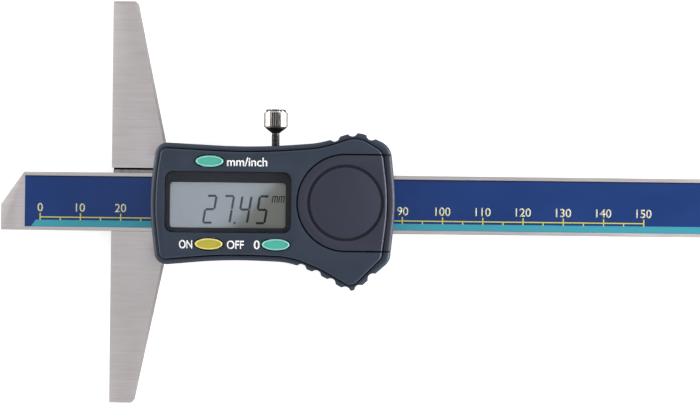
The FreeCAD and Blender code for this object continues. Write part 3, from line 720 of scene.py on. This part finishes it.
INK = 0.02 * MM
label_low, label_high = corners("scale_label")
print_low = label_high.z
zero_mark = corners("beam")[0].x + 9.78 * MM
RANGE = 150
LINE_Y = -3.97 * MM
LINE_HALF = 0.14 * MM
TICK_HALF = 0.15 * MM
TICK_LOW = -4.75 * MM
LONG_TICK_TOP = -2.96 * MM
SHORT_TICK_TOP = -4.05 * MM
SHADOW_LINE_WIDTH = 0.3 * MM
STRIPE_TOP = -4.67 * MM
STRIPE_LEAD = 1.1 * MM  # how far before the zero mark the stripe starts
SLANT = 1.15 * MM  # how much further its lower corner reaches
FIGURE_LOW = -2.55 * MM
FIGURE_HEIGHT = 2.05 * MM


def lettering(text, left, right, low, height, top, weight, centre=False):
    """Thin raised lettering: its tallest letter stands this high above the baseline low, and
    its ink spans left to right, or is centred there when centre is set."""
    curve = bpy.data.curves.new("lettering", "FONT")
    curve.body = text
    curve.offset = weight
    made = bpy.data.objects.new("lettering", curve)
    bpy.context.scene.collection.objects.link(made)
    activate(made)
    bpy.ops.object.convert(target="MESH")
    made = bpy.context.object
    xs = [vertex.co.x for vertex in made.data.vertices]
    tallest = max(vertex.co.y for vertex in made.data.vertices)
    up = height / tallest
    across = up if centre else (right - left) / (max(xs) - min(xs))
    start = (left + right) / 2 - across * (max(xs) - min(xs)) / 2 if centre else left
    for vertex in made.data.vertices:
        vertex.co = Vector(((vertex.co.x - min(xs)) * across + start, vertex.co.y * up + low, top))
    activate(made)
    bpy.ops.object.mode_set(mode="EDIT")
    bpy.ops.mesh.select_all(action="SELECT")
    bpy.ops.mesh.remove_doubles(threshold=MERGE)
    bpy.ops.mesh.extrude_region_move(TRANSFORM_OT_translate={"value": (0, 0, INK)})
    turn_outward()
    return made


stripe = plate(
    (zero_mark - STRIPE_LEAD, label_low.y + 0.05 * MM, print_low),
    (label_high.x, STRIPE_TOP, print_low + INK),
)
for vertex in stripe.data.vertices:
    if vertex.co.x < zero_mark and vertex.co.y < STRIPE_TOP - 0.1 * MM:
        vertex.co.x -= SLANT
finish_piece(stripe, "scale_stripe", "beam", "printed_scale", teal_ink)

# a thin navy line along the label's top edge, a painted shadow of the recess wall
shadow_line_start = (label_low.x, label_high.y - SHADOW_LINE_WIDTH, print_low)
shadow_line = plate(shadow_line_start, (label_high.x, label_high.y, print_low + INK))
finish_piece(shadow_line, "label_edge_painted_shadow", "beam", "printed_scale", shadow_line_ink)

line_end = (zero_mark + RANGE * MM, LINE_Y + LINE_HALF, print_low + 1.2 * INK)
marks = [plate((zero_mark, LINE_Y - LINE_HALF, print_low), line_end)]
for step in range(RANGE // 5 + 1):
    place = zero_mark + 5 * step * MM
    top = SHORT_TICK_TOP if step % 2 else LONG_TICK_TOP
    low = (place - TICK_HALF, TICK_LOW, print_low)
    marks.append(plate(low, (place + TICK_HALF, top, print_low + 1.5 * INK)))
finish_piece(joined(marks), "scale_marks", "beam", "printed_scale", yellow_ink)

figures = []
for value in range(0, RANGE + 1, 10):
    place = zero_mark + value * MM
    figures.append(
        lettering(str(value), place, place, FIGURE_LOW, FIGURE_HEIGHT, print_low, 0.008, centre=True)
    )
finish_piece(joined(figures), "scale_figures", "beam", "printed_scale", figure_ink)


# ---- the words on the face --------------------------------------------------------------

face_top = corners("front_cover")[1].z
BASELINE = 1.1  # this far below the button's middle
# each word's button, and in millimetres from its middle the word's left, right and height
WORDS = [
    ("mm/inch", "button_units", 4.26, 14.04, 2.1),
    ("ON", "button_on_off", -7.2, -4.0, 2.0),
    ("OFF", "button_on_off", 4.44, 8.55, 2.0),
    ("0", "button_zero", -5.32, -3.86, 2.1),
]
words = []
for text, button, left, right, tall in WORDS:
    middle = sum(corners(button), Vector()) / 2
    low = middle.y - BASELINE * MM
    ends = (middle.x + left * MM, middle.x + right * MM)
    words.append(lettering(text, *ends, low, tall * MM, face_top, 0.012))
finish_piece(joined(words), "face_words", "slider", "white_plastic", white_ink)


# ---- the reading on the display ---------------------------------------------------------

panel_low, panel_high = corners("lcd_panel")
glass_top = panel_high.z
DIGIT_WIDTH = 2.75 * MM
DIGIT_HEIGHT = 7.1 * MM
DIGIT_PITCH = 4.27 * MM
STROKE = 0.54 * MM
SPLIT = 0.09 * MM  # the gap where two segments meet
BLUNTING = 0.3  # how much of its width a segment's end corners lose
LEAN = math.tan(math.radians(9.2))
DIGIT_LOW = -5.1 * MM
digits_start = panel_low.x + 8.33 * MM
SEGMENTS = {"2": "abged", "7": "abc", "4": "fgbc", "5": "afgcd"}


def segment(left, low, right, high):
    """One flat display segment, its ends cut to blunt points."""
    made = plate((left, low, glass_top), (right, high, glass_top + INK))
    flat = right - left > high - low
    activate(made)
    bpy.ops.object.mode_set(mode="EDIT")
    bpy.ops.mesh.select_mode(type="EDGE")
    bpy.ops.mesh.select_all(action="DESELECT")
    skin = bmesh.from_edit_mesh(made.data)
    for edge in skin.edges:
        edge.select_set(abs(edge.verts[0].co.z - edge.verts[1].co.z) > INK / 2)
    bmesh.update_edit_mesh(made.data)
    thin = (high - low) if flat else (right - left)
    bpy.ops.mesh.bevel(offset=BLUNTING * thin, segments=1)
    bpy.ops.object.mode_set(mode="OBJECT")
    return made


def digit(figure, start):
    """A seven-segment figure, upright; the lean comes later."""
    half, reach = STROKE / 2, STROKE / 2 + SPLIT
    middle, top = DIGIT_HEIGHT / 2, DIGIT_HEIGHT
    sides = {
        "a": (reach, top - STROKE, DIGIT_WIDTH - reach, top),
        "g": (reach, middle - half, DIGIT_WIDTH - reach, middle + half),
        "d": (reach, 0, DIGIT_WIDTH - reach, STROKE),
        "f": (0, middle + SPLIT, STROKE, top - reach),
        "e": (0, reach, STROKE, middle - SPLIT),
        "b": (DIGIT_WIDTH - STROKE, middle + SPLIT, DIGIT_WIDTH, top - reach),
        "c": (DIGIT_WIDTH - STROKE, reach, DIGIT_WIDTH, middle - SPLIT),
    }
    made = []
    for name in SEGMENTS[figure]:
        left, low, right, high = sides[name]
        made.append(segment(start + left, DIGIT_LOW + low, start + right, DIGIT_LOW + high))
    return made


reading = []
for place, figure in enumerate("2745"):
    reading += digit(figure, digits_start + place * DIGIT_PITCH)
point_x = digits_start + 1.87 * DIGIT_PITCH - 0.25 * MM
reading.append(segment(point_x, DIGIT_LOW, point_x + 0.5 * MM, DIGIT_LOW + 0.55 * MM))

# the small unit letters after the figures: three legs under a bar, twice
UNIT_LOW = 0.23 * MM
UNIT_TOP = 1.83 * MM
UNIT_STROKE = 0.24 * MM
UNIT_PITCH = 1.6 * MM
UNIT_WIDTH = 1.36 * MM
LEG_PITCH = 0.58 * MM
for letter in range(2):
    left = panel_low.x + 24.5 * MM + letter * UNIT_PITCH
    for leg in range(3):
        x = left + leg * LEG_PITCH
        reading.append(plate((x, UNIT_LOW, glass_top), (x + UNIT_STROKE, UNIT_TOP, glass_top + INK)))
    bar = (left, UNIT_TOP - UNIT_STROKE, glass_top)
    reading.append(plate(bar, (left + UNIT_WIDTH, UNIT_TOP, glass_top + 1.2 * INK)))
reading = joined(reading)
for vertex in reading.data.vertices:
    vertex.co.x += (vertex.co.y - DIGIT_LOW) * LEAN
finish_piece(reading, "display_reading", "slider", "display_glass", segment_ink)


# ---- stage, light and camera ------------------------------------------------------------

# a paper table, white to look at and grey only in reflections, so that steel sides stay dark
TABLE_WHITE = "#F7F7F7"
TABLE_GREY = "#A6A6A6"
table_top, table_tree, table_shader, _ = blank("paper_backdrop_white", TABLE_WHITE, 0.9)
seen = add(table_tree, "ShaderNodeLightPath").outputs["Is Camera Ray"]
paper = add(table_tree, "ShaderNodeMix", {"Factor": seen}, data_type="RGBA")
paper.inputs["A"].default_value = linear(TABLE_GREY)
paper.inputs["B"].default_value = linear(TABLE_WHITE)
table_shader.inputs["Emission Color"].default_value = (1.0, 1.0, 1.0, 1.0)
bright = add(table_tree, "ShaderNodeMath", {0: seen, 1: 0.6}, operation="MULTIPLY")
table_tree.links.new(paper.outputs["Result"], table_shader.inputs["Base Color"])
table_tree.links.new(bright.outputs[0], table_shader.inputs["Emission Strength"])
bpy.ops.mesh.primitive_plane_add(size=6.0, location=(0, 0, -0.05 * MM))
floor = bpy.context.object
floor.name = "studio_floor"
floor.data.materials.append(table_top)

# a white tent, brightest low down all round
world = bpy.data.worlds.new("studio")
world.use_nodes = True
sky = world.node_tree
direction = add(sky, "ShaderNodeTexCoord").outputs["Generated"]
height = add(sky, "ShaderNodeSeparateXYZ", {0: direction}).outputs["Z"]
sockets = {"Value": height, "From Min": 0.0, "From Max": 0.8, "To Min": 1.65, "To Max": 0.46}
glow = add(sky, "ShaderNodeMapRange", sockets).outputs["Result"]
sky.links.new(glow, sky.nodes["Background"].inputs["Strength"])
sky.nodes["Background"].inputs["Color"].default_value = (1.0, 1.0, 1.0, 1.0)
bpy.context.scene.world = world


def softbox(name, place, target, width, height, glow, colour=(1.0, 1.0, 1.0)):
    """A rectangular light that faces its target; glow is its brightness as seen."""
    light = bpy.data.lights.new(name, "AREA")
    light.shape = "RECTANGLE"
    light.size = width
    light.size_y = height
    light.energy = glow * math.pi * width * height
    light.color = colour
    lamp = bpy.data.objects.new(name, light)
    lamp.location = place
    lamp.rotation_euler = (Vector(target) - Vector(place)).to_track_quat("-Z", "Y").to_euler()
    bpy.context.scene.collection.objects.link(lamp)
    return lamp


# a small panel overhead, mirrored in the left of the display with its edge as a diagonal
PANEL_SPOT = (-0.0445, 0.0066)
PANEL_TURN = 45.4
BLUISH = (0.666, 0.769, 1.0)
above, below = (*PANEL_SPOT, 0.8), (*PANEL_SPOT, 0.0)
panel = softbox("display_panel_light", above, below, 0.092, 0.06, 4.67, BLUISH)
panel.rotation_euler = (0, 0, math.radians(PANEL_TURN))
# long low lights on both sides, which draw the bright lines along the rounded edges
softbox("right_softbox", (0.8, 0.0, 0.16), (0.06, 0.0, 0.0), 0.9, 0.28, 13.0)
softbox("left_softbox", (-0.8, 0.2, 0.16), (0.0, 0.0, 0.0), 0.9, 0.28, 6.0)

CAMERA_PLACE = (59.28 * MM, 0.72 * MM, 406.5 * MM)
CAMERA_TURN = 0.65
camera_data = bpy.data.cameras.new("camera")
camera_data.sensor_width = 36.0
camera_data.lens = 82.8
camera = bpy.data.objects.new("camera", camera_data)
camera.location = CAMERA_PLACE
camera.rotation_euler = (0, 0, math.radians(CAMERA_TURN))
bpy.context.scene.collection.objects.link(camera)
bpy.context.scene.camera = camera
bpy.context.scene.view_settings.view_transform = "Standard"
